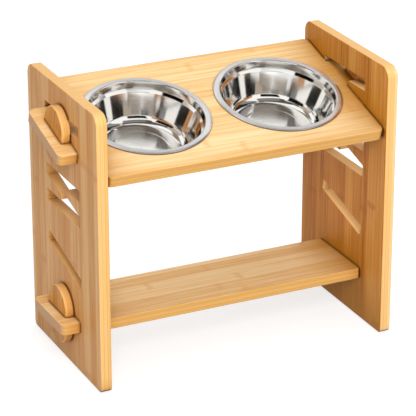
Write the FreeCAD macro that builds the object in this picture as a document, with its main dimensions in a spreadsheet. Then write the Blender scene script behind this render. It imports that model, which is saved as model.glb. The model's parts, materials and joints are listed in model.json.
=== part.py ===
import FreeCAD, Part
import os
import re
import Sketcher

# Elevated pet bowl stand: two slotted bamboo side panels carry a tilted bowl tray and a level shelf.
# Both boards end in through tenons that are locked outside the panels by rounded drop-in keys.
# Frame: X runs from the left panel to the right one, Y from front to back, Z up from the floor.

doc = FreeCAD.newDocument("bowl_stand")

# Sizes in millimetres and degrees, and shares, that can each be changed alone.
SIZES = [
    ("board_thick", 15.0),      # every bamboo board
    ("edge_round", 1.2),        # sanded edges of the boards
    ("panel_depth", 228.0),
    ("panel_height", 375.0),
    ("top_corner", 15.0),
    ("foot_corner", 6.0),
    ("tilt", 15.0),             # slope of the tray and of the sloping slots
    ("slot_play", 0.5),         # room above and below a tenon
    ("slot_end_play", 1.5),     # room at each end of a tray tenon
    ("shelf_end_play", 1.0),    # room at each end of a shelf tenon
    ("slot_corner", 2.5),
    ("tongue_tip", 6.5),        # thickness of the wood tongues at their blunt tips
    ("top_slot_drop", 41.5),    # slot middles below the top of the panel
    ("tray_drop", 62.0),
    ("shelf_rise", 65.0),       # middle of the shelf above the foot of the panel
    ("middle_slot_share", 0.5968),  # spare slots, on the way from the shelf up to the tray
    ("sloped_slot_share", 0.3065),
    ("linked_slot_pitch", 35.5),    # from the middle level slot up to the upper one
    ("tray_margin", 27.5),      # tray in front of and behind the bowls
    ("tray_corner", 9.0),
    ("tray_tenon", 108.0),
    ("shelf_shoulder", 7.0),    # shelf beyond its tenon at the front and back
    ("shelf_corner", 3.0),
    ("shelf_tenon", 98.0),
    ("tenon_end", 13.2),        # wood left beyond the key
    ("tenon_corner", 8.5),
    ("mortise_length", 60.0),
    ("mortise_set", 1.0),       # how far the mortise runs back inside the panel
    ("key_thick", 12.5),
    ("key_play", 0.3),
    ("key_taper", 8.5),         # lean of each flank of a key
    ("key_head", 3.5),          # head arc's middle above the tenon
    ("key_tail", 19.0),         # tail arc's middle below the tenon's top
    ("key_round", 2.5),
    ("bowl_gap", 19.0),         # between the two rims
    ("side_gap", 14.5),         # between a rim and the panel beside it
    ("bowl_play", 1.0),
    ("mouth_radius", 77.0),
    ("rim_width", 8.5),
    ("rim_thick", 2.0),
    ("rim_round_share", 0.45),  # rounding of the rim's edges, of its thickness
    ("steel_thick", 1.0),       # sheet steel of the bowls
    ("neck_lean", 0.8),         # how far the neck draws in below the mouth
    ("neck_depth", 9.5),
    ("waist_step", 3.2),        # small shoulder under the neck
    ("waist_drop", 3.5),
    ("wall_lean", 13.0),        # how far the wall draws in from the shoulder to the foot
    ("bowl_depth", 51.0),
    ("foot_round", 9.0),
    ("waist_round", 1.5),
    ("dimple_radius", 35.0),
    ("dimple_rise", 1.5),
    ("dimple_round", 1.0),
    ("pad_thick", 2.5),
    ("pad_proud", 1.0),         # part of the pad that stands below the panel
    ("pad_width", 9.0),
    ("pad_length", 40.0),
    ("pad_corner", 3.0),
    ("pad_from_end", 34.0),     # pad's middle to the panel's front or back edge
]

# Sizes that follow from the ones above, so that every fit shares the same values.
DERIVED = [
    ("rim_radius", "mouth_radius + rim_width"),
    ("bowl_offset", "rim_radius + bowl_gap / 2"),
    ("inner_half", "bowl_offset + rim_radius + side_gap"),
    ("outer_half", "inner_half + board_thick"),
    ("tray_half", "rim_radius + tray_margin"),
    ("tray_tenon_half", "tray_tenon / 2"),
    ("shelf_half", "shelf_tenon / 2 + shelf_shoulder"),
    ("shelf_tenon_half", "shelf_tenon / 2"),
    ("tenon_tip_half", "outer_half + key_thick + key_play + tenon_end"),
    ("mortise_wide", "key_thick + key_play + mortise_set"),
    ("mortise_middle", "outer_half - mortise_set + mortise_wide / 2"),
    ("slot_half", "board_thick / 2 + slot_play"),
    ("slot_reach", "tray_tenon / 2 + slot_end_play"),
    ("shelf_slot_reach", "shelf_tenon / 2 + shelf_end_play"),
    ("tray_rise", "panel_height - tray_drop"),
    ("top_slot_floor", "panel_height - top_slot_drop - slot_half"),
    ("spare_span", "tray_rise - shelf_rise"),
    ("middle_slot_floor", "shelf_rise + spare_span * middle_slot_share - slot_half"),
    ("upper_slot_floor", "middle_slot_floor + linked_slot_pitch"),
    ("sloped_slot_rise", "shelf_rise + spare_span * sloped_slot_share"),
    ("slot_high", "slot_half * 2"),
    ("slope_roof", "tray_rise + slot_half / cos(tilt)"),
    ("top_tongue", "(slope_roof + tongue_tip - top_slot_floor) / tan(tilt)"),
    ("link_drop", "linked_slot_pitch - slot_high - tongue_tip"),
    ("link_tongue", "slot_reach - link_drop / tan(tilt)"),
    ("key_half", "mortise_length / 2 - key_play"),
    ("key_head_radius", "(key_half + key_head * tan(key_taper)) * cos(key_taper)"),
    ("key_tail_radius", "(key_half - key_tail * tan(key_taper)) * cos(key_taper)"),
    ("rim_round", "rim_thick * rim_round_share"),
    ("neck_radius", "mouth_radius - neck_lean"),
    ("waist_radius", "neck_radius - waist_step"),
    ("waist_depth", "neck_depth + waist_drop"),
    ("foot_radius", "waist_radius - wall_lean"),
    ("hole_radius", "mouth_radius + steel_thick + bowl_play"),
    ("pad_recess", "pad_thick - pad_proud"),
    ("pad_middle", "panel_depth / 2 - pad_from_end"),
]

sheet = doc.addObject("Spreadsheet::Sheet", "sizes")
CELLS = [(name, str(value)) for name, value in SIZES] + [(name, f"={words}") for name, words in DERIVED]
for row, (name, content) in enumerate(CELLS, start=1):
    sheet.set(f"A{row}", name)
    sheet.set(f"B{row}", content)
    sheet.setAlias(f"B{row}", name)
doc.recompute()

NAMES = {name for name, content in CELLS}
TINY = 1e-4
WHOLE_TURN = 360.0
PAD_PLACES = (("front", "-"), ("back", "+"))


def sized(words):
    """Points every size named in a formula at the sheet."""
    return re.sub("[a-z_]+", lambda word: f"sizes.{word[0]}" if word[0] in NAMES else word[0], words)


def number(words):
    """Value of a formula as a plain number."""
    found = sheet.evalExpression(sized(words))
    return float(getattr(found, "Value", found))


def bind(thing, field, words):
    thing.setExpression(field, sized(words))


def plane_of(body, role):
    return next(item for item in body.Origin.OriginFeatures if item.Role == role)


def new_body(name):
    return doc.addObject("PartDesign::Body", name)


def new_sketch(body, name, role):
    sketch = body.newObject("Sketcher::SketchObject", name)
    sketch.AttachmentSupport = [(plane_of(body, role), "")]
    sketch.MapMode = "FlatFace"
    return sketch


def fix(sketch, kind, geometry, point, words):
    """Holds one coordinate of a point to a formula."""
    spot = Sketcher.Constraint(kind, -1, 1, geometry, point, number(words))
    bind(sketch, f"Constraints[{sketch.addConstraint(spot)}]", words)


def draw_outline(sketch, corners):
    """Closed straight-sided outline whose corners are formulas for the sketch's two axes."""
    spots = [FreeCAD.Vector(number(across), number(along), 0) for across, along in corners]
    lines = [Part.LineSegment(spot, after) for spot, after in zip(spots, spots[1:] + spots[:1])]
    drawn = sketch.addGeometry(lines, False)
    for line, after in zip(drawn, drawn[1:] + drawn[:1]):
        sketch.addConstraint(Sketcher.Constraint("Coincident", line, 2, after, 1))
    for line, (across, along) in zip(drawn, corners):
        fix(sketch, "DistanceX", line, 1, across)
        fix(sketch, "DistanceY", line, 1, along)


def rectangle(half_across, half_along, along="0"):
    """Corners of a rectangle standing about the sketch's upright axis."""
    low = f"{along} - {half_along}"
    high = f"{along} + {half_along}"
    left = f"0 - ({half_across})"
    return [(left, low), (half_across, low), (half_across, high), (left, high)]


def add_feature(body, kind, name, sketch):
    feature = body.newObject(f"PartDesign::{kind}", name)
    feature.Profile = sketch
    return feature


def round_edges(body, name, radius, wanted):
    """Rounds the edges of the body's last feature that the test picks out."""
    doc.recompute()
    base = body.Tip
    edges = base.Shape.Edges
    picked = [f"Edge{place}" for place, edge in enumerate(edges, start=1) if wanted(edge)]
    rounding = body.newObject("PartDesign::Fillet", name)
    rounding.Base = (base, picked)
    bind(rounding, "Radius", radius)
    doc.recompute()
    return rounding


def runs_along(edge, axis):
    """True for a straight edge parallel to the named axis."""
    if not isinstance(edge.Curve, Part.Line):
        return False
    return abs(abs(getattr(edge.Curve.Direction, axis)) - 1) < TINY


def lies_at(edge, axis, levels):
    """True for an edge that lies wholly in one of the given planes across an axis."""
    low = getattr(edge.BoundBox, f"{axis.upper()}Min")
    high = getattr(edge.BoundBox, f"{axis.upper()}Max")
    return any(abs(low - level) < TINY and abs(high - level) < TINY for level in levels)


def plank(name, half_across, half_along, thick, corner, softening=None):
    """Board lying below its own origin with rounded corners and, if wanted, softened edges."""
    body = new_body(name)
    outline = new_sketch(body, f"{name}_outline", "XY_Plane")
    draw_outline(outline, rectangle(half_across, half_along))
    slab = add_feature(body, "Pad", f"{name}_slab", outline)
    bind(slab, "Length", thick)
    slab.Reversed = True
    round_edges(body, f"{name}_corners", corner, lambda edge: runs_along(edge, "z"))
    if softening:
        faces = (0, -number(thick))
        round_edges(body, f"{name}_edges", softening, lambda edge: lies_at(edge, "z", faces))
    return body


def sloped_corners(rise):
    """Corners of a slot that slopes down to the front, from the low front one round to the high front one."""
    ends = []
    for along, up, flip in (("-", "-", "+"), ("+", "-", "+"), ("+", "+", "-"), ("-", "+", "-")):
        across = f"0 {along} slot_reach * cos(tilt) {flip} slot_half * sin(tilt)"
        level = f"{rise} {along} slot_reach * sin(tilt) {up} slot_half * cos(tilt)"
        ends.append((across, level))
    return ends


def top_slots():
    """Level slot and the tray's sloping slot, sharing one back end with a tongue between them."""
    front = "0 - slot_reach"
    tip = "0 - top_tongue"
    roof = "top_slot_floor + slot_high"
    low_front, low_back, high_back, high_front = sloped_corners("tray_rise")
    return [("slot_reach", roof), (front, roof), (front, "top_slot_floor"), (tip, "top_slot_floor"),
            (tip, "top_slot_floor - tongue_tip"), high_front, low_front, low_back]


def linked_slots():
    """Two level slots joined by a sloping cut between two blunt tongues."""
    front = "0 - slot_reach"
    tip = "0 - link_tongue"
    upper_roof = "upper_slot_floor + slot_high"
    lower_roof = "middle_slot_floor + slot_high"
    return [("slot_reach", upper_roof), (front, upper_roof), (front, "upper_slot_floor"),
            (tip, "upper_slot_floor"), (tip, "upper_slot_floor - tongue_tip"), (front, lower_roof),
            (front, "middle_slot_floor"), ("slot_reach", "middle_slot_floor"), ("slot_reach", lower_roof),
            ("link_tongue", lower_roof), ("link_tongue", f"{lower_roof} + tongue_tip"),
            ("slot_reach", "upper_slot_floor")]


def side_panel(name, left_face):
    """Upright board with its slots; its own origin is the middle of its foot."""
    body = new_body(name)
    outline = new_sketch(body, f"{name}_outline", "YZ_Plane")
    draw_outline(outline, rectangle("panel_depth / 2", "panel_height / 2", "panel_height / 2"))
    slab = add_feature(body, "Pad", f"{name}_slab", outline)
    bind(slab, "Length", "board_thick")
    middle = number("panel_height / 2")
    round_edges(body, f"{name}_top_corners", "top_corner",
                lambda edge: runs_along(edge, "x") and edge.BoundBox.ZMin > middle)
    round_edges(body, f"{name}_foot_corners", "foot_corner",
                lambda edge: runs_along(edge, "x") and edge.BoundBox.ZMax < TINY)
    faces = (0, number("board_thick"))
    round_edges(body, f"{name}_edges", "edge_round", lambda edge: lies_at(edge, "x", faces))

    slots = new_sketch(body, f"{name}_slot_lines", "YZ_Plane")
    draw_outline(slots, top_slots())
    draw_outline(slots, linked_slots())
    draw_outline(slots, sloped_corners("sloped_slot_rise"))
    draw_outline(slots, rectangle("shelf_slot_reach", "slot_half", "shelf_rise"))
    cut = add_feature(body, "Pocket", f"{name}_slots", slots)
    cut.Type = "ThroughAll"
    cut.Reversed = True
    inside = number("slot_reach + slot_half")
    round_edges(body, f"{name}_slot_corners", "slot_corner",
                lambda edge: runs_along(edge, "x") and abs(edge.BoundBox.Center.y) < inside)

    recess_lines = new_sketch(body, f"{name}_recess_lines", "XY_Plane")
    near = "board_thick / 2 - pad_width / 2"
    far = "board_thick / 2 + pad_width / 2"
    for place, sign in PAD_PLACES:
        low = f"0 {sign} pad_middle - pad_length / 2"
        high = f"0 {sign} pad_middle + pad_length / 2"
        draw_outline(recess_lines, [(near, low), (far, low), (far, high), (near, high)])
    recess = add_feature(body, "Pocket", f"{name}_recesses", recess_lines)
    recess.Reversed = True
    bind(recess, "Length", "pad_recess")
    top = number("pad_thick")
    round_edges(body, f"{name}_recess_corners", "pad_corner",
                lambda edge: runs_along(edge, "z") and edge.BoundBox.ZMax < top)
    bind(body, "Placement.Base.x", left_face)
    bind(body, "Placement.Base.z", "pad_proud")
    return body


def tool_box(name, sides, middle):
    """Box with formulas for its sides and its middle."""
    box = doc.addObject("Part::Box", name)
    for field, axis, side, centre in zip(("Length", "Width", "Height"), "xyz", sides, middle):
        bind(box, field, side)
        bind(box, f"Placement.Base.{axis}", f"{centre} - ( {side} ) / 2")
    return box


def tenon_board(name, half_depth, corner, half_tenon, holes):
    """Board with a through tenon and a key mortise at each end; its origin is on its top face."""
    board = plank(f"{name}_board", "inner_half", half_depth, "board_thick", corner, "edge_round")
    tenons = plank(f"{name}_tenons", "tenon_tip_half", half_tenon, "board_thick", "tenon_corner",
                   "edge_round")
    joined = doc.addObject("Part::Fuse", f"{name}_joined")
    joined.Base = board
    joined.Tool = tenons
    joined.Refine = True
    tools = list(holes)
    for side, sign in (("left", "-"), ("right", "+")):
        tools.append(tool_box(f"{name}_mortise_{side}", ("mortise_wide", "mortise_length", "board_thick * 2"),
                              (f"0 {sign} mortise_middle", "0", "0 - board_thick / 2")))
    waste = doc.addObject("Part::MultiFuse", f"{name}_waste")
    waste.Shapes = tools
    cut = doc.addObject("Part::Cut", name)
    cut.Base = joined
    cut.Tool = waste
    doc.recompute()
    return cut


def bowl_hole(name, sign):
    """Round tool that reaches past both faces of the tray."""
    hole = doc.addObject("Part::Cylinder", name)
    bind(hole, "Radius", "hole_radius")
    bind(hole, "Height", "board_thick * 3")
    bind(hole, "Placement.Base.x", f"0 {sign} bowl_offset")
    bind(hole, "Placement.Base.z", "0 - board_thick * 2")
    return hole


def key(name):
    """Rounded upright wedge; its origin is level with the top of the tenon it locks."""
    body = new_body(name)
    profile = new_sketch(body, f"{name}_profile", "YZ_Plane")
    arcs = [("key_head", "key_head_radius"), ("0 - key_tail", "key_tail_radius")]
    lean = FreeCAD.Units.Quantity(f"{number('key_taper')} deg").getValueAs("rad").Value
    half_turn = FreeCAD.Units.Quantity("180 deg").getValueAs("rad").Value
    spans = [(-lean, half_turn + lean), (half_turn + lean, 2 * half_turn - lean)]
    upright = FreeCAD.Vector(0, 0, 1)
    curves = []
    for (level, radius), (begin, end) in zip(arcs, spans):
        circle = Part.Circle(FreeCAD.Vector(0, number(level), 0), upright, number(radius))
        curves.append(Part.ArcOfCircle(circle, begin, end))
    head, tail = curves
    left_flank = Part.LineSegment(head.EndPoint, tail.StartPoint)
    right_flank = Part.LineSegment(tail.EndPoint, head.StartPoint)
    top, left, bottom, right = profile.addGeometry([head, left_flank, tail, right_flank], False)
    for first, second in ((top, left), (left, bottom), (bottom, right), (right, top)):
        profile.addConstraint(Sketcher.Constraint("Tangent", first, 2, second, 1))
    for arc, (level, radius) in zip((top, bottom), arcs):
        fix(profile, "DistanceX", arc, 3, "0")
        fix(profile, "DistanceY", arc, 3, level)
        size = Sketcher.Constraint("Radius", arc, number(radius))
        bind(profile, f"Constraints[{profile.addConstraint(size)}]", radius)
    slab = add_feature(body, "Pad", f"{name}_slab", profile)
    bind(slab, "Length", "key_thick")
    faces = (0, number("key_thick"))
    round_edges(body, f"{name}_edges", "key_round", lambda edge: lies_at(edge, "x", faces))
    return body


def turn_profile(body, name, kind, corners):
    """Revolves an outline about the bowl's own upright axis."""
    profile = new_sketch(body, f"{name}_profile", "XZ_Plane")
    draw_outline(profile, corners)
    turned = add_feature(body, kind, name, profile)
    turned.ReferenceAxis = (profile, ["V_Axis"])
    turned.Angle = WHOLE_TURN
    doc.recompute()
    return turned


def ring_at(radius, level):
    """Test for a full round edge of a given radius at a given height."""
    def test(edge):
        if not isinstance(edge.Curve, Part.Circle):
            return False
        near = abs(edge.Curve.Radius - number(radius)) < TINY
        return near and abs(edge.BoundBox.Center.z - number(level)) < TINY
    return test


def bowl(name):
    """Drop-in steel bowl; its origin is in the middle of the rim's underside."""
    body = new_body(name)
    floor = "0 - bowl_depth"
    dimple = "dimple_rise - bowl_depth"
    inner = [("mouth_radius", "rim_thick"), ("neck_radius", "0 - neck_depth"),
             ("waist_radius", "0 - waist_depth"), ("foot_radius", floor),
             ("dimple_radius + dimple_rise", floor), ("dimple_radius", dimple)]
    outer = [("rim_radius", "rim_thick"), ("rim_radius", "0"), ("mouth_radius + steel_thick", "0"),
             ("neck_radius + steel_thick", "0 - neck_depth - steel_thick"),
             ("waist_radius + steel_thick", "0 - waist_depth - steel_thick"),
             ("foot_radius + steel_thick", f"{floor} - steel_thick"),
             ("dimple_radius + dimple_rise", f"{floor} - steel_thick"),
             ("dimple_radius", f"{dimple} - steel_thick")]
    solid = [("0", "rim_thick")] + outer + [("0", f"{dimple} - steel_thick")]
    hollow = [("0", "rim_thick")] + inner + [("0", dimple)]
    outer_rounds = ("rim_round", "rim_round", None, "waist_round", "waist_round", "foot_round + steel_thick",
                    "dimple_round", "dimple_round")
    inner_rounds = ("rim_round", "waist_round", "waist_round", "foot_round", "dimple_round", "dimple_round")
    turn_profile(body, f"{name}_shell", "Revolution", solid)
    turn_profile(body, f"{name}_inside", "Groove", hollow)
    for face, corners, rounds in (("inner", inner, inner_rounds), ("outer", outer, outer_rounds)):
        for place, ((radius, level), rounding) in enumerate(zip(corners, rounds), start=1):
            if rounding:
                round_edges(body, f"{name}_{face}_round_{place}", rounding, ring_at(radius, level))
    return body


def set_on_board(piece, across, rise, slope):
    """Places a piece whose origin lies on the top face of the tray or of the shelf."""
    turn = FreeCAD.Rotation(FreeCAD.Vector(1, 0, 0), number(slope))
    piece.Placement = FreeCAD.Placement(FreeCAD.Vector(), turn)
    bind(piece, "Placement.Rotation.Angle", slope)
    bind(piece, "Placement.Base.x", across)
    bind(piece, "Placement.Base.y", f"0 - board_thick / 2 * sin({slope})")
    bind(piece, "Placement.Base.z", f"pad_proud + {rise} + board_thick / 2 * cos({slope})")
    return piece


nodes = []

for side, left_face in (("left", "0 - outer_half"), ("right", "inner_half")):
    nodes.append(side_panel(f"{side}_side_panel", left_face))
    for place, sign in PAD_PLACES:
        pad = plank(f"foot_pad_{side}_{place}", "pad_width / 2", "pad_length / 2", "pad_thick", "pad_corner")
        bind(pad, "Placement.Base.x", f"{left_face} + board_thick / 2")
        bind(pad, "Placement.Base.y", f"0 {sign} pad_middle")
        bind(pad, "Placement.Base.z", "pad_thick")
        nodes.append(pad)

tray_holes = [bowl_hole("bowl_hole_left", "-"), bowl_hole("bowl_hole_right", "+")]
tray = tenon_board("bowl_tray", "tray_half", "tray_corner", "tray_tenon_half", tray_holes)
shelf = tenon_board("lower_shelf", "shelf_half", "shelf_corner", "shelf_tenon_half", [])
nodes.append(set_on_board(tray, "0", "tray_rise", "tilt"))
nodes.append(set_on_board(shelf, "0", "shelf_rise", "0"))

for board, rise, slope in (("tray", "tray_rise", "tilt"), ("shelf", "shelf_rise", "0")):
    for side, across in (("left", "0 - outer_half - key_thick"), ("right", "outer_half")):
        nodes.append(set_on_board(key(f"{board}_key_{side}"), across, rise, slope))

for side, sign in (("left", "-"), ("right", "+")):
    nodes.append(set_on_board(bowl(f"bowl_{side}"), f"0 {sign} bowl_offset", "tray_rise", "tilt"))

doc.recompute()

for item in doc.Objects:
    if "Invalid" in item.State or "Error" in item.State:
        raise ValueError(f"{item.Name} did not build: {item.State}")

os.makedirs("parts", exist_ok=True)
for node in nodes:
    node.Label = node.Name
    if node.Shape.isNull() or not node.Shape.isValid():
        raise ValueError(f"{node.Label} has no sound shape")
    node.Shape.exportStep(f"parts/{node.Label}.step")
    print(node.Label, "solids", len(node.Shape.Solids), "volume", round(node.Shape.Volume, 1))
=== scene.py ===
# %% [markdown]
# # Elevated pet bowl stand
# Two slotted bamboo panels carry a tilted tray with two steel bowls and a low shelf, all locked by
# rounded keys. The boards, keys and pads come from the frame with their true shapes, so this lesson
# gives them bamboo and rubber, turns the two bowls anew as smooth polished shells, and ends with a
# plain studio: white paper floor, soft lamps and a camera at the photograph's angle.

# %% Load the frame
import json
from math import atan2, cos, pi, radians, sin, tan

import bmesh
import bpy
from mathutils import Matrix, Vector


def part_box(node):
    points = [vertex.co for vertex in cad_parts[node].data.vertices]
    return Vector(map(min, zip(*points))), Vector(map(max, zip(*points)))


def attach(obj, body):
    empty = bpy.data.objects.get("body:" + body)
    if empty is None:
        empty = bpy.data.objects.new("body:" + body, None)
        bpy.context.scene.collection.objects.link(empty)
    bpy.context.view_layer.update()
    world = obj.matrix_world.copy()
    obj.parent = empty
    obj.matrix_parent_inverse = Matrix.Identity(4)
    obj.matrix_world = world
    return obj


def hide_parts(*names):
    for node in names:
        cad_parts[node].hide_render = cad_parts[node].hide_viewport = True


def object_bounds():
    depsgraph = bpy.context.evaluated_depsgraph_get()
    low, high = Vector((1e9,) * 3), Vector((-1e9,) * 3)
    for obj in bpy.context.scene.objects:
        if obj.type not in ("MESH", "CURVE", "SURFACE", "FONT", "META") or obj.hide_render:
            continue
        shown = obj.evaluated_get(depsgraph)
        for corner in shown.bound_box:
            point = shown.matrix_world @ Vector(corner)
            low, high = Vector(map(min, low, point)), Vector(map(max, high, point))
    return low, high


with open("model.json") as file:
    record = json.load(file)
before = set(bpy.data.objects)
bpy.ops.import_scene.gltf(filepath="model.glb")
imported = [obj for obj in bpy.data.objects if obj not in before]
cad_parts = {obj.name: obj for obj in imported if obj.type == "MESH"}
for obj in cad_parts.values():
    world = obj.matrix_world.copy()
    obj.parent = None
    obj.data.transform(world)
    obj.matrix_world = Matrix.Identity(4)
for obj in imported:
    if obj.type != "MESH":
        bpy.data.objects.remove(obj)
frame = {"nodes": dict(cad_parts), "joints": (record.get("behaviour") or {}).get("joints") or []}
nodes = frame["nodes"]
cad_low, cad_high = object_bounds()
MM = 0.001
print("pieces in the frame:", sorted(nodes))

# %% [markdown]
# ## Measures that the frame already knows
# Anything that can be read from the frame is read, not typed. A side panel's box gives the board
# thickness. The bowls are lifted square to the tray, so that joint's axis is the tray's normal and
# gives its slope. The tray is symmetric, so the middle of its box is the middle of the board.


# %% Read board thickness, tray slope and tray top
def middle_of(node):
    low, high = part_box(node)
    return (low + high) / 2


def width_of(node):
    low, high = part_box(node)
    return high.x - low.x


board_thick = width_of("left_side_panel")
panel_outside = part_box("right_side_panel")[1].x
lift_joint = next(joint for joint in frame["joints"] if joint["name"] == "bowl_left_lift")
tray_normal = Vector(lift_joint["axis"])
tray_slope = atan2(-tray_normal.y, tray_normal.z)
tray_top = middle_of("bowl_tray") + tray_normal * board_thick / 2
print("board", round(board_thick / MM, 2), "mm, tray top at", [round(v / MM, 1) for v in tray_top])

# %% [markdown]
# ## Colour and node helpers
# Colours are written as the hex values that a painter would pick from a screen, and one function
# turns them into the linear light that shaders work in, by the curve of the sRGB standard. One more
# function adds a node, applies its settings and fills its inputs: a plain value is set on the
# socket, a node or socket is linked. With it a material reads like a recipe, one line for a step.


# %% Helpers for colours and shader nodes
def linear(hex_colour):
    """Linear RGBA of an sRGB hex colour."""
    shares = [int(hex_colour[place:place + 2], 16) / 255 for place in (1, 3, 5)]
    light = [share / 12.92 if share <= 0.04045 else ((share + 0.055) / 1.055) ** 2.4 for share in shares]
    return (*light, 1.0)


def add_node(tree, kind, inputs=None, **settings):
    """New shader node with its settings, and its inputs set to values or linked to nodes."""
    node = tree.nodes.new(f"ShaderNode{kind}")
    for name, value in settings.items():
        setattr(node, name, value)
    for name, value in (inputs or {}).items():
        if isinstance(value, bpy.types.Node):
            value = value.outputs[0]
        if isinstance(value, bpy.types.NodeSocket):
            tree.links.new(value, node.inputs[name])
        else:
            node.inputs[name].default_value = value
    return node


def new_material(name):
    """Empty node material and its tree."""
    material = bpy.data.materials.new(name)
    material.use_nodes = True
    material.node_tree.nodes.clear()
    return material, material.node_tree


print("white is", linear("#ffffff"))

# %% [markdown]
# ## Camera
# The photograph looks down on the stand from its front left with a long lens. Corner points of the
# boards were matched to their pixels, which gives the camera's place, turn and focal length. The
# frame needs no shift, so the camera simply looks at the stand.

# %% Camera at the photograph's angle
PICTURE_PIXELS = 416
FOCAL_PIXELS = 2275.85
SENSOR_MM = 36.0
CAMERA_PLACE = (-1.195734, -2.490775, 1.34389)
CAMERA_DOWN = radians(22.922)
CAMERA_AROUND = radians(-25.539)

camera = bpy.data.cameras.new("photo_camera")
camera.sensor_width = SENSOR_MM
camera.lens = FOCAL_PIXELS * SENSOR_MM / PICTURE_PIXELS
camera_object = bpy.data.objects.new("photo_camera", camera)
camera_object.location = CAMERA_PLACE
camera_object.rotation_euler = (pi / 2 - CAMERA_DOWN, 0, CAMERA_AROUND)
bpy.context.collection.objects.link(camera_object)
bpy.context.scene.camera = camera_object
print("lens", round(camera.lens, 1), "mm")

# %% [markdown]
# ## Laminated bamboo: noise and lines
# The boards are pressed from bamboo strips, with long fibres that run along each strip and thin
# glue lines between strips and plies. Stretched noise gives fibres, and a line is the neighbourhood
# of every whole number once a place is counted in strips or plies. Both are worked out from sizes
# in millimetres, so they stay true on any board.

# %% Fibres and glue lines
GRAIN_ROUGHNESS = 0.6
GLUE_LINE = 0.4


def drawn_out(tree, place, long, wide, detail):
    """Noise in millimetres, drawn out along the grain."""
    scaled = add_node(tree, "VectorMath", {0: place, 1: (1 / long, 1 / wide, 1 / wide)}, operation="MULTIPLY")
    return add_node(tree, "TexNoise", {"Vector": scaled, "Scale": 1.0, "Detail": detail,
                                       "Roughness": GRAIN_ROUGHNESS})


def line_share(tree, place, wide, strongest):
    """Strength of a thin line at every whole number of a place that counts strips or plies."""
    off_line = add_node(tree, "Math", {0: place, 1: 0.5}, operation="PINGPONG")
    return add_node(tree, "MapRange", {"Value": off_line, "From Min": wide, "From Max": 0.0,
                                       "To Max": strongest})


print("glue lines", GLUE_LINE, "mm")

# %% [markdown]
# ## Laminated bamboo: strips and plies
# A strip is about 20 mm wide and a board is three plies deep. Each strip comes from another stretch
# of bamboo, so it has its own tone and its own fibres. Flat pictures painted on each side would
# break at every edge, so the bamboo is a solid pattern in the board's own millimetres: X along the
# grain, Y across the strips, Z through the plies. Every point then knows its strip and ply, also
# on the walls of a slot.

# %% Where a point lies in its board
STRIP_WIDE = 20.5
PLIES = 3
PLY_STAGGER_SHARE = 0.37    # how far each ply's strips are set over from the ply below
STRIP_SHIFT = 90.0          # how far apart two strips can lie on the bamboo that they were cut from
FIBRE_WIDE = 1.1            # real bundles are half as wide; drawn coarse enough to show
FIBRE_LONG = 90.0
FIBRE_DETAIL = 3.0
BAND_WIDE = 5.0
BAND_LONG = 260.0
BAND_DETAIL = 2.0
GLUE_STRENGTH = 0.35
PLY_LINE_STRENGTH = 0.85
WITHIN_BOARD = 0.999        # keeps the outermost face from counting as one more ply


def strip_pattern(tree, board, turn, thick, seed):
    """Sockets that say where a point lies in a board: its strip, ply, fibres and marks."""
    place = add_node(tree, "TexCoord")
    local = add_node(tree, "Mapping", {"Vector": place.outputs["Object"], "Location": middle_of(board),
                                       "Rotation": turn.to_euler(), "Scale": (MM, MM, MM)},
                     vector_type="TEXTURE")
    along, across, depth = add_node(tree, "SeparateXYZ", {0: local}).outputs
    ply_thick = thick / MM / PLIES
    plies = add_node(tree, "Math", {0: depth, 1: WITHIN_BOARD / ply_thick, 2: PLIES / 2},
                     operation="MULTIPLY_ADD")
    ply = add_node(tree, "Math", {0: plies}, operation="FLOOR")
    lane = add_node(tree, "Math", {0: across, 1: 1 / STRIP_WIDE, 2: seed}, operation="MULTIPLY_ADD")
    lane = add_node(tree, "Math", {0: ply, 1: PLY_STAGGER_SHARE, 2: lane}, operation="MULTIPLY_ADD")
    strip = add_node(tree, "Math", {0: lane}, operation="FLOOR")
    strip_name = add_node(tree, "CombineXYZ", {0: strip, 1: ply, 2: seed})
    chance = add_node(tree, "TexWhiteNoise", {"Vector": strip_name}, noise_dimensions="3D")
    own_place = add_node(tree, "VectorMath", {0: chance.outputs["Color"], 1: (STRIP_SHIFT,) * 3, 2: local},
                         operation="MULTIPLY_ADD")
    return {
        "along": along,
        "depth": depth,
        "sideways": add_node(tree, "SeparateXYZ", {0: place.outputs["Object"]}).outputs["X"],
        "normal": place.outputs["Normal"],
        "chance": chance.outputs["Value"],
        "fibre": drawn_out(tree, own_place, FIBRE_LONG, FIBRE_WIDE, FIBRE_DETAIL),
        "band": drawn_out(tree, own_place, BAND_LONG, BAND_WIDE, BAND_DETAIL),
        "glue": line_share(tree, lane, GLUE_LINE / STRIP_WIDE, GLUE_STRENGTH),
        "ply_line": line_share(tree, plies, GLUE_LINE / ply_thick, PLY_LINE_STRENGTH),
    }


print("strips", STRIP_WIDE, "mm wide in", PLIES, "plies")

# %% [markdown]
# ## Laminated bamboo: broad faces
# On the face of a board every strip has its own tone, fine fibres and wider bands run along it, and
# the joints of the stem show as faint darker marks, at another place in every strip. The strip's
# chance value, the bands and the fibres are added up to one number, and a ramp of three tones turns
# it into colour: simpler to tune than three layers of paint.

# %% Face of a board
STEM_JOINT_SPACING = 290.0
STEM_JOINT_LONG = 7.0
STEM_JOINT_STRENGTH = 0.55
STEM_JOINT_SCATTER = 7.3    # spacings over which the strips' joints are scattered
STEM_JOINT_WAVE = 0.03      # share of the spacing by which a joint wavers across its strip
BAND_WEIGHT = 0.7
FIBRE_WEIGHT = 1.3
FACE_BALANCE = -0.46        # brings an average strip to the middle tone
LIGHT_PLACE, MIDDLE_PLACE, DARK_PLACE = 0.2, 0.52, 0.85


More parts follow.
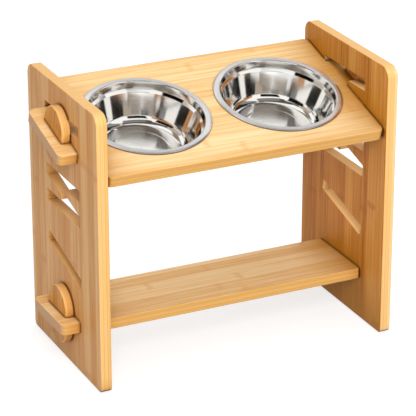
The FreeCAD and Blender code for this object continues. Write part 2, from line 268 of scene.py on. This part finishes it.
def stem_joints(tree, pattern, seed):
    """Darker marks where the stem had a joint."""
    shift = add_node(tree, "Math", {0: pattern["chance"], 1: STEM_JOINT_SCATTER, 2: seed},
                     operation="MULTIPLY_ADD")
    place = add_node(tree, "Math", {0: pattern["along"], 1: 1 / STEM_JOINT_SPACING, 2: shift},
                     operation="MULTIPLY_ADD")
    wave = add_node(tree, "Math", {0: pattern["band"], 1: STEM_JOINT_WAVE, 2: place},
                    operation="MULTIPLY_ADD")
    return line_share(tree, wave, STEM_JOINT_LONG / STEM_JOINT_SPACING, STEM_JOINT_STRENGTH)


def face_colour(tree, pattern, seed, tones, contrast):
    """Broad face of a board: strips in three tones from light to dark, with their marks."""
    tone = add_node(tree, "Math", {0: pattern["chance"], 1: contrast, 2: FACE_BALANCE - contrast / 2},
                    operation="MULTIPLY_ADD")
    tone = add_node(tree, "Math", {0: pattern["band"], 1: BAND_WEIGHT, 2: tone}, operation="MULTIPLY_ADD")
    tone = add_node(tree, "Math", {0: pattern["fibre"], 1: FIBRE_WEIGHT, 2: tone}, operation="MULTIPLY_ADD")
    ramp = add_node(tree, "ValToRGB", {0: tone})
    first, last = ramp.color_ramp.elements
    first.position, last.position = LIGHT_PLACE, DARK_PLACE
    first.color, last.color = linear(tones[0]), linear(tones[2])
    ramp.color_ramp.elements.new(MIDDLE_PLACE).color = linear(tones[1])
    joints = stem_joints(tree, pattern, seed)
    marks = add_node(tree, "Math", {0: joints, 1: pattern["glue"]}, operation="MAXIMUM")
    return add_node(tree, "MixRGB", {"Fac": marks, "Color1": ramp, "Color2": linear(tones[2])})


print("stem joints every", STEM_JOINT_SPACING, "mm")

# %% [markdown]
# ## Laminated bamboo: sawn edges
# A sawn edge shows the core: yellower than the face, with the glue lines between the plies. Where
# the saw went across the grain the cut fibres show as paler specks. How squarely an edge cuts the
# grain follows from its normal, so one material serves every edge and no face has to be picked.

# %% Edges of a board
EDGE_STRIP_WEIGHT = 0.8
EDGE_FIBRE_WEIGHT = 1.2
EDGE_BALANCE = -0.5
END_GRAIN_FROM = 0.6        # how squarely an edge cuts the grain where the specks begin
END_GRAIN_FULL = 0.95


def edge_colour(tree, pattern, grain, core, end):
    """Sawn edges: core with ply lines along the grain, paler specks across it."""
    tone = add_node(tree, "Math", {0: pattern["chance"], 1: EDGE_STRIP_WEIGHT, 2: EDGE_BALANCE},
                    operation="MULTIPLY_ADD")
    tone = add_node(tree, "Math", {0: pattern["fibre"], 1: EDGE_FIBRE_WEIGHT, 2: tone},
                    operation="MULTIPLY_ADD")
    sides = add_node(tree, "MixRGB", {"Fac": tone, "Color1": linear(core[0]), "Color2": linear(core[1])})
    sides = add_node(tree, "MixRGB", {"Fac": pattern["ply_line"], "Color1": sides, "Color2": linear(core[2])})
    ends = add_node(tree, "MixRGB", {"Fac": pattern["fibre"], "Color1": linear(end[0]),
                                     "Color2": linear(end[1])})
    facing = add_node(tree, "VectorMath", {0: pattern["normal"], 1: grain}, operation="DOT_PRODUCT")
    facing = add_node(tree, "Math", {0: facing.outputs["Value"]}, operation="ABSOLUTE")
    end_share = add_node(tree, "MapRange", {"Value": facing, "From Min": END_GRAIN_FROM,
                                            "From Max": END_GRAIN_FULL})
    return add_node(tree, "MixRGB", {"Fac": end_share, "Color1": sides, "Color2": ends})


print("end grain from", END_GRAIN_FROM, "to", END_GRAIN_FULL)

# %% [markdown]
# ## Laminated bamboo: painted shade where boards meet
# Where two boards meet, colour stands in for the shade that falls there: a painted dark line in the joint,
# and painted browner shade in corners and on the walls of slots. Painting these by hand would need
# a picture for every board. The ambient occlusion node tells how much open sky a point still has
# within a distance, so one function gives all of them, each with its own distance.

# %% Painted shade by the share of open sky
CREVICE = 6.0               # how near another piece the painted dark line between them begins
SLOT = 25.0                 # how near the walls of a slot take painted dark shade
CORNER = 70.0               # how near another board its painted brown shade begins
CREVICE_SKY = (0.85, 0.5)   # shares of open sky where a painted shade begins and where it is full
WALL_SKY = (0.95, 0.5)
COVERED_SKY = (0.52, 0.2)
CORNER_SKY = (0.97, 0.4)
CREVICE_STRENGTH = 0.8
WALL_STRENGTH = 0.6
OUTSIDE_STRENGTH = 0.2      # tenons outside the panels get little painted shade and stay light
# painted shade colours: browner in corners, dark in joints and covered slots
PAINTED_CORNER_SHADE = "#b0740a"
PAINTED_CREVICE_SHADE = "#6b3d14"
SKY_SAMPLES = 8


def with_painted_shade(tree, colour, near, sky_shares, strongest, shade):
    """A colour that turns to a painted shade where other surfaces come near."""
    begins, full = sky_shares
    sky = add_node(tree, "AmbientOcclusion", {"Distance": near * MM}, samples=SKY_SAMPLES)
    share = add_node(tree, "MapRange", {"Value": sky.outputs["AO"], "From Min": begins, "From Max": full,
                                        "To Max": strongest})
    return add_node(tree, "MixRGB", {"Fac": share, "Color1": colour, "Color2": linear(shade)})


def painted_joint_shades(tree, colour, pattern, face_share, painted_wall_shade):
    """Painted shade: brown corners and slot walls, dark covered slots, and a dark line where two boards meet.
    """
    sideways = add_node(tree, "Math", {0: pattern["sideways"]}, operation="ABSOLUTE")
    inside = add_node(tree, "MapRange", {"Value": sideways, "From Min": panel_outside - board_thick / 8,
                                         "From Max": panel_outside, "To Min": 1.0,
                                         "To Max": OUTSIDE_STRENGTH})
    corner_share = add_node(tree, "Math", {0: inside, 1: face_share}, operation="MULTIPLY")
    wall_share = add_node(tree, "MapRange", {"Value": face_share, "To Min": WALL_STRENGTH, "To Max": 0.0})
    # painted shade: browner in corners between the panels, fading outside them
    colour = with_painted_shade(tree, colour, CORNER, CORNER_SKY, corner_share, PAINTED_CORNER_SHADE)
    # painted shade on the walls of slots
    colour = with_painted_shade(tree, colour, SLOT, WALL_SKY, wall_share, painted_wall_shade)
    # painted dark shade inside slots that another board covers
    colour = with_painted_shade(tree, colour, SLOT, COVERED_SKY, inside, PAINTED_CREVICE_SHADE)
    # painted dark line where two pieces meet
    return with_painted_shade(tree, colour, CREVICE, CREVICE_SKY, CREVICE_STRENGTH, PAINTED_CREVICE_SHADE)


print("shades within", CREVICE, SLOT, CORNER, "mm")

# %% [markdown]
# ## Laminated bamboo: the finished board
# Face, edge and painted shades come together here. Sanding rounds the arris, so the face gives way to the
# core within a millimetre. The thin satin coat leaves the fibres just open enough to feel, so they drive a
# little relief and a little roughness.

# %% Bamboo for one board
SANDED_SKIN = 0.9           # depth at which a sanded edge is all core
SANDED_FACE = 0.18          # depth down to which it is all face
SATIN_LEAST, SATIN_MOST = 0.42, 0.56
FIBRE_RELIEF = 0.15
FIBRE_RELIEF_STRENGTH = 0.25
WOOD_SPECULAR = 0.15
COAT_WEIGHT = 0.04
COAT_ROUGHNESS = 0.3


def bamboo(name, board, turn, thick, seed, tones, core, end, contrast):
    """Bamboo for one board: its turn takes the pattern's axes to the board's own."""
    material, tree = new_material(name)
    pattern = strip_pattern(tree, board, turn, thick, seed)
    face = face_colour(tree, pattern, seed, tones, contrast)
    edge = edge_colour(tree, pattern, turn @ Vector((1, 0, 0)), core, end)
    half = thick / MM / 2
    off_middle = add_node(tree, "Math", {0: pattern["depth"]}, operation="ABSOLUTE")
    face_share = add_node(tree, "MapRange", {"Value": off_middle, "From Min": half - SANDED_SKIN,
                                             "From Max": half - SANDED_FACE}, interpolation_type="SMOOTHSTEP")
    colour = add_node(tree, "MixRGB", {"Fac": face_share, "Color1": edge, "Color2": face})
    # painted shade in corners, slots and joints
    colour = painted_joint_shades(tree, colour, pattern, face_share, core[3])
    roughness = add_node(tree, "MapRange", {"Value": pattern["fibre"], "To Min": SATIN_LEAST,
                                            "To Max": SATIN_MOST})
    relief = add_node(tree, "Math", {0: pattern["fibre"], 1: pattern["glue"]}, operation="SUBTRACT")
    bump = add_node(tree, "Bump", {"Height": relief, "Strength": FIBRE_RELIEF_STRENGTH,
                                   "Distance": FIBRE_RELIEF * MM})
    wood = add_node(tree, "BsdfPrincipled", {"Base Color": colour, "Roughness": roughness, "Normal": bump,
                                             "Specular IOR Level": WOOD_SPECULAR, "Coat Weight": COAT_WEIGHT,
                                             "Coat Roughness": COAT_ROUGHNESS})
    add_node(tree, "OutputMaterial", {"Surface": wood})
    return material


print("satin coat between", SATIN_LEAST, "and", SATIN_MOST)

# %% [markdown]
# ## Bamboo on each board
# The panels and the keys stand with their grain upright, the tray and the shelf lie with theirs from
# side to side. Every board gets its own seed, so no two share strips. The right panel has browner strips with
# more contrast round a brighter core, and its slot walls get a lighter painted shade; the tray and the shelf
# have the palest strips.

# %% Tones of the boards
PALE = ("#f8dbab", "#f0ca92", "#dfab66")    # faces: light, middle and dark strips
TAN = ("#f4c48a", "#e9b173", "#d48f48")
GOLD = ("#edb062", "#df9a4b", "#be7730")
BROWN = ("#e5a555", "#d28b3c", "#ae651f")
BRIGHT_CORE = ("#f8ca84", "#e9ae5e", "#cf924a", "#b97a2c")    # light, dark, glue line, painted slot-wall shade
# lighter painted shade on the right panel's slot walls, where more light reaches them
LIGHTLY_SHADED_CORE = ("#fdd594", "#f2ba6c", "#d89d56", "#f2c587")
DEEP_CORE = ("#e9b76c", "#dda55a", "#c48a44", "#b97a2c")
PALE_END = ("#f4c98a", "#dfaa66")           # end grain and its specks
BROWN_END = ("#dcae82", "#c8976a")
print("palest face", PALE[0], "brownest", BROWN[2])

# %% Give every bamboo piece its own board
LEVEL = Matrix.Identity(3)
SLOPED = Matrix.Rotation(tray_slope, 3, "X")
UPRIGHT = Matrix.Rotation(-pi / 2, 3, "Y")
BOARDS = {                  # turn of the grain, seed, face, core, end grain, contrast between strips
    "left_side_panel": (UPRIGHT, 3.2, TAN, BRIGHT_CORE, PALE_END, 0.4),
    "right_side_panel": (UPRIGHT, 11.7, BROWN, LIGHTLY_SHADED_CORE, PALE_END, 0.42),
    "bowl_tray": (SLOPED, 5.4, PALE, DEEP_CORE, BROWN_END, 0.4),
    "lower_shelf": (LEVEL, 8.1, PALE, DEEP_CORE, BROWN_END, 0.4),
    "tray_key_left": (SLOPED @ UPRIGHT, 2.6, GOLD, BRIGHT_CORE, PALE_END, 0.3),
    "tray_key_right": (SLOPED @ UPRIGHT, 6.3, GOLD, BRIGHT_CORE, PALE_END, 0.3),
    "shelf_key_left": (UPRIGHT, 9.5, GOLD, BRIGHT_CORE, PALE_END, 0.3),
    "shelf_key_right": (UPRIGHT, 4.4, GOLD, BRIGHT_CORE, PALE_END, 0.3),
}


def dress(piece, material):
    """Makes a material the only one on a piece."""
    piece.data.materials.clear()
    piece.data.materials.append(material)


for board, (turn, seed, tones, core, end, contrast) in BOARDS.items():
    thick = board_thick if board in ("bowl_tray", "lower_shelf") else width_of(board)
    wood = bamboo(f"laminated_bamboo_{board}", board, turn, thick, seed, tones, core, end, contrast)
    dress(nodes[board], wood)
print("bamboo on", len(BOARDS), "boards")

# %% [markdown]
# ## Stainless steel
# The bowls are pressed from sheet steel. Their walls are polished until they mirror the room, the
# rim and the outside keep the fine rings of a satin finish, and the floor is brushed. All three
# follow the bowl's own axis, so the pattern is read in the bowl's millimetres: distance from the
# axis and height. Steel that was turned stretches its highlights across the rings, which a plain
# rough metal doesn't, so the shader's anisotropy follows the rings too.

# %% Steel that was turned about a bowl's axis
TURNING_LINE = 0.5          # rings of the finish; real ones are a tenth of this, drawn to show
FAINT_RING, STRONG_RING = 0.3, 0.7
RING_DEPTH = 0.02
RING_DETAIL = 2.0
DENT_WIDE = 26.0
DENT_DEPTH = 1.0
DENT_DETAIL = 1.0
HIGHLIGHT_STRETCH = 0.8
ACROSS_THE_RINGS = 0.25     # quarter turn
# painted shade: darker at the rim's outer edge by the tray and in tight corners of the bowl
RIM_CREVICE = 5.0
RIM_CREVICE_SKY = (0.9, 0.55)
RIM_CREVICE_STRENGTH = 0.9
RIM_PAINTED_SHADE = "#3a3029"


def steel(name, centre, tone, smooth, rough, ring_relief, dent_relief):
    """Turned steel about a bowl's axis, between two roughness values."""
    material, tree = new_material(name)
    place = add_node(tree, "TexCoord")
    local = add_node(tree, "Mapping", {"Vector": place.outputs["Object"], "Location": centre,
                                       "Rotation": (tray_slope, 0, 0), "Scale": (MM, MM, MM)},
                     vector_type="TEXTURE")
    axis = add_node(tree, "VectorMath", {0: place.outputs["Object"], 1: centre}, operation="SUBTRACT")
    ring_way = add_node(tree, "VectorMath", {0: tray_normal, 1: axis}, operation="CROSS_PRODUCT")
    flat = add_node(tree, "VectorMath", {0: local, 1: (1, 1, 0)}, operation="MULTIPLY")
    radius = add_node(tree, "VectorMath", {0: flat}, operation="LENGTH")
    height = add_node(tree, "SeparateXYZ", {0: local})
    ring_place = add_node(tree, "CombineXYZ", {0: radius.outputs["Value"], 1: height.outputs["Z"]})
    rings = add_node(tree, "TexNoise", {"Vector": ring_place, "Scale": 1 / TURNING_LINE,
                                        "Detail": RING_DETAIL})
    dents = add_node(tree, "TexNoise", {"Vector": local, "Scale": 1 / DENT_WIDE, "Detail": DENT_DETAIL})
    shine = add_node(tree, "MapRange", {"Value": rings, "From Min": FAINT_RING, "From Max": STRONG_RING,
                                        "To Min": smooth, "To Max": rough})
    ring_bump = add_node(tree, "Bump", {"Height": rings, "Strength": ring_relief,
                                        "Distance": RING_DEPTH * MM})
    dent_bump = add_node(tree, "Bump", {"Height": dents, "Strength": dent_relief,
                                        "Distance": DENT_DEPTH * MM, "Normal": ring_bump})
    colour = add_node(tree, "MixRGB", {"Fac": rings, "Color1": linear(tone[0]), "Color2": linear(tone[1])})
    # painted shade where other surfaces come near the steel
    colour = with_painted_shade(tree, colour, RIM_CREVICE, RIM_CREVICE_SKY, RIM_CREVICE_STRENGTH, RIM_PAINTED_SHADE)
    metal = add_node(tree, "BsdfPrincipled", {"Base Color": colour, "Metallic": 1.0, "Roughness": shine,
                                              "Normal": dent_bump, "Tangent": ring_way,
                                              "Anisotropic": HIGHLIGHT_STRETCH,
                                              "Anisotropic Rotation": ACROSS_THE_RINGS})
    add_node(tree, "OutputMaterial", {"Surface": metal})
    return material


print("rings", TURNING_LINE, "mm apart")

# %% [markdown]
# ## The bowls: section
# A drop-in bowl is a disc of sheet steel drawn into a cup: rolled rim, upright neck, small shoulder,
# tapered wall, rounded foot and a raised disc in the floor. It is round about one axis, so half its
# section says everything. The sizes follow the frame's bowl, with a rounder foot, a rolled rim and
# a wider step round the disc, because a mirror shows every tight corner.

# %% Sizes of the section in millimetres
MOUTH_RADIUS = 77.0
RIM_THICK = 2.0
RIM_DOME = 1.8              # the rim rolls off softly into the mouth
RIM_ROLL = 2.0              # its outer edge rolls down to the tray over this width
RIM_EDGE = 1.0
SHEET = 1.0
NECK_LEAN = 0.8
NECK_DEPTH = 9.5
WAIST_STEP = 3.2
WAIST_DROP = 3.5
WAIST_ROUND = 1.5
WALL_LEAN = 13.0
BOWL_DEPTH = 51.0
FOOT_ROUND = 14.0
DISC_RADIUS = 35.0
DISC_RISE = 1.8
DISC_STEP = 4.0             # how wide the slope round the disc is
DISC_ROUND = 0.8
rim_radius = width_of("bowl_left") / 2 / MM
neck_radius = MOUTH_RADIUS - NECK_LEAN
waist_radius = neck_radius - WAIST_STEP
waist_depth = NECK_DEPTH + WAIST_DROP
foot_radius = waist_radius - WALL_LEAN
disc_level = DISC_RISE - BOWL_DEPTH
print("rim", round(rim_radius, 1), "mm, foot", round(foot_radius, 1), "mm from the axis")

# %% Section: distance from the axis, level and rounding of each corner
INSIDE = [                  # from the middle of the floor up
    (0, disc_level, 0),
    (DISC_RADIUS, disc_level, DISC_ROUND),
    (DISC_RADIUS + DISC_STEP, -BOWL_DEPTH, DISC_ROUND),
    (foot_radius, -BOWL_DEPTH, FOOT_ROUND),
    (waist_radius, -waist_depth, WAIST_ROUND),
    (neck_radius, -NECK_DEPTH, WAIST_ROUND),
]
RIM = [
    (MOUTH_RADIUS, RIM_THICK, RIM_DOME),
    (rim_radius - RIM_ROLL, RIM_THICK, RIM_ROLL),
    (rim_radius, RIM_EDGE, 0),
    (rim_radius, 0, 0),
    (MOUTH_RADIUS + SHEET, 0, 0),
]
OUTSIDE = [                 # back down to the middle, one sheet further out
    (neck_radius + SHEET, -NECK_DEPTH - SHEET, WAIST_ROUND),
    (waist_radius + SHEET, -waist_depth - SHEET, WAIST_ROUND),
    (foot_radius + SHEET, -BOWL_DEPTH - SHEET, FOOT_ROUND + SHEET),
    (DISC_RADIUS + DISC_STEP, -BOWL_DEPTH - SHEET, DISC_ROUND),
    (DISC_RADIUS, disc_level - SHEET, DISC_ROUND),
    (0, disc_level - SHEET, 0),
]
SECTION = INSIDE + RIM + OUTSIDE
print("corners in the section:", len(SECTION))

# %% [markdown]
# ## The bowls: spin
# The section is a chain of points. A vertex bevel rounds each corner to its radius, and one spin
# about the axis makes the closed shell, where lofting rings would need every ring worked out.

# %% Round the corners and spin
CORNER_STEPS = 6
TURN_STEPS = 192
MERGE_DISTANCE = 0.001


def round_corner(mesh, corner, before, after, radius):
    """Rounds one corner of a chain of points with an arc of the given radius."""
    turn = (before - corner.co).angle(corner.co - after)
    bmesh.ops.bevel(mesh, geom=[corner], offset=radius * tan(turn / 2), offset_type="OFFSET",
                    affect="VERTICES", segments=CORNER_STEPS, profile=0.5, material=-1)


def spun_shell():
    """Closed shell of a bowl about the upright axis, with its rim's seat at level zero."""
    shell = bmesh.new()
    spots = [Vector((radius, 0, level)) * MM for radius, level, rounding in SECTION]
    chain = [shell.verts.new(spot) for spot in spots]
    for first, second in zip(chain, chain[1:]):
        shell.edges.new((first, second))
    for place, (radius, level, rounding) in enumerate(SECTION):
        if rounding:
            round_corner(shell, chain[place], spots[place - 1], spots[place + 1], rounding * MM)
    bmesh.ops.spin(shell, geom=shell.verts[:] + shell.edges[:], cent=(0, 0, 0), axis=(0, 0, 1),
                   angle=2 * pi, steps=TURN_STEPS, use_merge=True)
    bmesh.ops.remove_doubles(shell, verts=shell.verts, dist=MERGE_DISTANCE * MM)
    bmesh.ops.recalc_face_normals(shell, faces=shell.faces)
    return shell


print("steps in a turn:", TURN_STEPS)

# %% [markdown]
# ## The bowls: which face has which finish
# A buffing wheel polishes the wall, a brush leaves fine rings on the flat floor, and the rim and the
# outside stay satin. Faces picked by number would be lost when a size changes, so each face is asked
# where it lies and which way it looks.

# %% Finish of each face
POLISHED, SATIN, BRUSHED = range(3)
FLOOR_SHARE = 0.7           # of the foot rounding: where polish gives way to the brushed floor
LOOKS_UP = 0.02             # least upward share of a normal that counts as looking up
SHARP = radians(40)


def finish_of(face):
    """Which finish a face of the upright shell has."""
    middle = face.calc_center_median()
    outward = Vector((middle.x, middle.y, 0))
    in_mouth = outward.length < (MOUTH_RADIUS + RIM_DOME / 2) * MM
    off_step = abs(outward.length / MM - DISC_RADIUS - DISC_STEP / 2) > DISC_STEP / 2
    on_floor = outward.length < (foot_radius - FOOT_ROUND * FLOOR_SHARE) * MM and off_step
    looks_in = face.normal.z > LOOKS_UP or face.normal.dot(outward) < 0
    if looks_in and on_floor:
        return BRUSHED
    return POLISHED if looks_in and in_mouth else SATIN


def pressed_bowl(name, centre, finishes):
    """Finishes a spun shell and sets it into the tray."""
    shell = spun_shell()
    for face in shell.faces:
        face.smooth = True
        face.material_index = finish_of(face)
    for edge in shell.edges:
        edge.smooth = edge.calc_face_angle(0) < SHARP
    bmesh.ops.transform(shell, matrix=Matrix.Translation(centre) @ SLOPED.to_4x4(), verts=shell.verts)
    mesh = bpy.data.meshes.new(name)
    shell.to_mesh(mesh)
    shell.free()
    for finish in finishes:
        mesh.materials.append(finish)
    bowl = bpy.data.objects.new(name, mesh)
    bpy.context.collection.objects.link(bowl)
    return bowl


print("finishes", POLISHED, SATIN, BRUSHED)

# %% [markdown]
# ## The bowls: into the tray
# Each bowl hangs by its rim in a hole of the tray and can be lifted out, so the new shell rides on
# that bowl's own body and takes the place of the frame's bowl. The three finishes differ only in
# tone, roughness and relief, so a row of a table describes each.

# %% Both bowls, in place of the frame's
FINISHES = {                # light and dark tone, least and most roughness, relief of rings and dents
    "polished": (("#fbf9f6", "#f3f1ed"), 0.06, 0.12, 0.1, 0.06),
    "satin": (("#f8f8f8", "#eeeef0"), 0.26, 0.36, 0.35, 0.0),
    "brushed": (("#fbf9f6", "#f1eeea"), 0.14, 0.22, 0.3, 0.03),
}
for side in ("left", "right"):
    node = f"bowl_{side}"
    centre = Vector((middle_of(node).x, tray_top.y, tray_top.z))
    finishes = [steel(f"{finish}_steel_{side}", centre, *look) for finish, look in FINISHES.items()]
    bowl = pressed_bowl(f"pressed_bowl_{side}", centre, finishes)
    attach(bowl, node)
    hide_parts(node)
    print(bowl.name, len(bowl.data.polygons), "faces")

# %% [markdown]
# ## Rubber pads
# Thin pads under the panels keep the stand from sliding. Moulded rubber is nearly black, matt and
# slightly pebbled. The pebbles are too small to model, so a fine noise drives both a little relief
# and a little tone.

# %% Rubber
PEBBLE = 0.8
PEBBLE_DEPTH = 0.1
PEBBLE_RELIEF = 0.4
PEBBLE_DETAIL = 2.0
RUBBER_LIGHT, RUBBER_DARK = "#2b2b2b", "#1c1c1c"
RUBBER_ROUGHNESS = 0.8
rubber, tree = new_material("moulded_rubber")
place = add_node(tree, "TexCoord")
pebbles = add_node(tree, "TexNoise", {"Vector": place.outputs["Object"], "Scale": 1 / (PEBBLE * MM),
                                      "Detail": PEBBLE_DETAIL})
tone = add_node(tree, "MixRGB", {"Fac": pebbles, "Color1": linear(RUBBER_LIGHT),
                                 "Color2": linear(RUBBER_DARK)})
bump = add_node(tree, "Bump", {"Height": pebbles, "Strength": PEBBLE_RELIEF, "Distance": PEBBLE_DEPTH * MM})
skin = add_node(tree, "BsdfPrincipled", {"Base Color": tone, "Roughness": RUBBER_ROUGHNESS, "Normal": bump})
add_node(tree, "OutputMaterial", {"Surface": skin})
pads = [name for name in nodes if name.startswith("foot_pad")]
for name in pads:
    dress(nodes[name], rubber)
print("rubber on", len(pads), "pads")

# %% [markdown]
# ## Studio: paper floor
# The stand is photographed on white paper. More light would bleach the boards before the paper
# turned white, so the paper is light grey, takes the stand's shadow, and glows a little only for
# rays that look at it: those from the camera, and those that shiny or clear surfaces send on.

# %% Floor
FLOOR_SIZE = 12.0
FLOOR_LIFT = 0.68
PAPER_GREY = "#b4b4b4"


def looking(tree):
    """One for rays from the camera and for what shiny or clear surfaces show it, else none."""
    rays = add_node(tree, "LightPath").outputs
    shown = add_node(tree, "Math", {0: rays["Is Camera Ray"], 1: rays["Is Glossy Ray"]}, operation="MAXIMUM")
    return add_node(tree, "Math", {0: shown, 1: rays["Is Transmission Ray"]}, operation="MAXIMUM")


paper, tree = new_material("studio_paper")
lift = add_node(tree, "Math", {0: looking(tree), 1: FLOOR_LIFT}, operation="MULTIPLY")
glow = add_node(tree, "Emission", {"Strength": lift})
matt = add_node(tree, "BsdfDiffuse", {"Color": linear(PAPER_GREY)})
both = add_node(tree, "AddShader", {0: matt, 1: glow})
add_node(tree, "OutputMaterial", {"Surface": both})
sheet = bmesh.new()
bmesh.ops.create_grid(sheet, x_segments=1, y_segments=1, size=FLOOR_SIZE / 2)
floor_mesh = bpy.data.meshes.new("studio_floor")
sheet.to_mesh(floor_mesh)
sheet.free()
floor_mesh.materials.append(paper)
floor = bpy.data.objects.new("studio_floor", floor_mesh)
bpy.context.collection.objects.link(floor)
print("floor", FLOOR_SIZE, "m wide")

# %% [markdown]
# ## Studio: white surroundings
# The room round the stand is white to look at, also in the steel, but lights the boards only half
# as strongly, so that the lamps still model their forms. A dome of white cloth would do the same
# and cost more time.

# %% World
AMBIENT = 0.5
STUDIO_WHITE = 1.0
world = bpy.data.worlds.new("white_studio")
world.use_nodes = True
tree = world.node_tree
tree.nodes.clear()
strength = add_node(tree, "MapRange", {"Value": looking(tree), "To Min": AMBIENT, "To Max": STUDIO_WHITE})
sky = add_node(tree, "Background", {"Color": linear("#ffffff"), "Strength": strength})
add_node(tree, "OutputWorld", {"Surface": sky})
bpy.context.scene.world = world
print("ambient light", AMBIENT, "and white", STUDIO_WHITE)

# %% [markdown]
# ## Studio: softboxes
# One large softbox stands in front, a little to the left, so that the front edges are bright and the
# faces that look left are half as bright. A weaker one hangs over the tray, and one at the right
# reaches into the right panel's slots. Steel would mirror them as hard white squares, so shiny
# surfaces don't see them.

# %% Lamps
STAND_MIDDLE = (cad_low + cad_high) / 2
SOFTBOXES = {               # place and width in metres, power in watts
    "key_softbox": ((-0.7, -2.4, 1.7), 1.6, 64.0),
    "top_softbox": ((-0.3, -0.1, 2.5), 1.8, 12.0),
    "side_softbox": ((1.9, 0.5, 1.1), 1.2, 14.0),
}


def softbox(name, place, wide, watts):
    """Soft square lamp that looks at the middle of the stand."""
    lamp = bpy.data.lights.new(name, "AREA")
    lamp.shape = "SQUARE"
    lamp.size = wide
    lamp.energy = watts
    lamp_object = bpy.data.objects.new(name, lamp)
    lamp_object.location = place
    lamp_object.rotation_euler = (Vector(place) - STAND_MIDDLE).to_track_quat("Z", "Y").to_euler()
    lamp_object.visible_camera = False
    lamp_object.visible_glossy = False
    bpy.context.collection.objects.link(lamp_object)


for name, (place, wide, watts) in SOFTBOXES.items():
    softbox(name, place, wide, watts)
print("lamps", list(SOFTBOXES))

# %% [markdown]
# ## Studio: cards
# Polished steel looks like steel only when it has something dark to mirror, so cards from beige to
# black stand round the bowls on a dome. Only shiny surfaces see them, and only there do they take
# light away. Darker steel would lose the white streaks that make it look polished.

# %% Cards that only shiny surfaces see
CARD_DISTANCE = 2.6
CARDS = {                   # degrees around from behind to the right, and up; width and height; tone
    "left_black": (-108, 30, 36, 44, "#101010"),
    "left_beige": (-70, 50, 24, 30, "#b9ab9c"),
    "back_left_beige": (-22, 32, 52, 16, "#94877a"),
    "back_right_beige": (36, 32, 52, 16, "#94877a"),
    "high_left_beige": (-30, 63, 32, 12, "#8d8174"),
    "high_back_black": (32, 66, 22, 12, "#1f1e1b"),
    "high_right_beige": (75, 63, 18, 14, "#a3988b"),
    "right_dark": (93, 42, 24, 44, "#2c2c2f"),
    "right_grey": (115, 40, 16, 40, "#8d8d90"),
    "front_black": (188, 18, 40, 26, "#15130f"),
    "front_high_grey": (178, 56, 44, 20, "#7f7b75"),
    "front_left_black": (-148, 50, 9, 10, "#2a2a2c"),
    "high_left_brown": (-125, 63, 34, 16, "#5c544b"),
    "front_top_brown": (178, 76, 46, 18, "#5c544b"),
}


def studio_card(name, around, up, wide, high, tone):
    """Card of one tone on a dome about the tray, facing it."""
    material, tree = new_material(f"{name}_felt")
    shade = add_node(tree, "Emission", {"Color": linear(tone), "Strength": 1.0})
    add_node(tree, "OutputMaterial", {"Surface": shade})
    outward = Vector((sin(around) * cos(up), cos(around) * cos(up), sin(up)))
    inward_turn = (-outward).to_track_quat("Z", "Y").to_matrix()
    card = bmesh.new()
    bmesh.ops.create_grid(card, x_segments=1, y_segments=1, size=CARD_DISTANCE)
    bmesh.ops.scale(card, vec=(tan(wide / 2), tan(high / 2), 1), verts=card.verts)
    bmesh.ops.rotate(card, cent=(0, 0, 0), matrix=inward_turn, verts=card.verts)
    bmesh.ops.translate(card, vec=tray_top + outward * CARD_DISTANCE, verts=card.verts)
    mesh = bpy.data.meshes.new(name)
    card.to_mesh(mesh)
    card.free()
    mesh.materials.append(material)
    piece = bpy.data.objects.new(name, mesh)
    bpy.context.collection.objects.link(piece)
    piece.visible_camera = piece.visible_diffuse = piece.visible_shadow = False


for name, (around, up, wide, high, tone) in CARDS.items():
    studio_card(f"card_{name}", radians(around), radians(up), radians(wide), radians(high), tone)
print("cards", len(CARDS))

# %% [markdown]
# ## Finish
# The Standard view shows colours about as they are written.

# %% Finish
bpy.context.scene.view_settings.view_transform = "Standard"
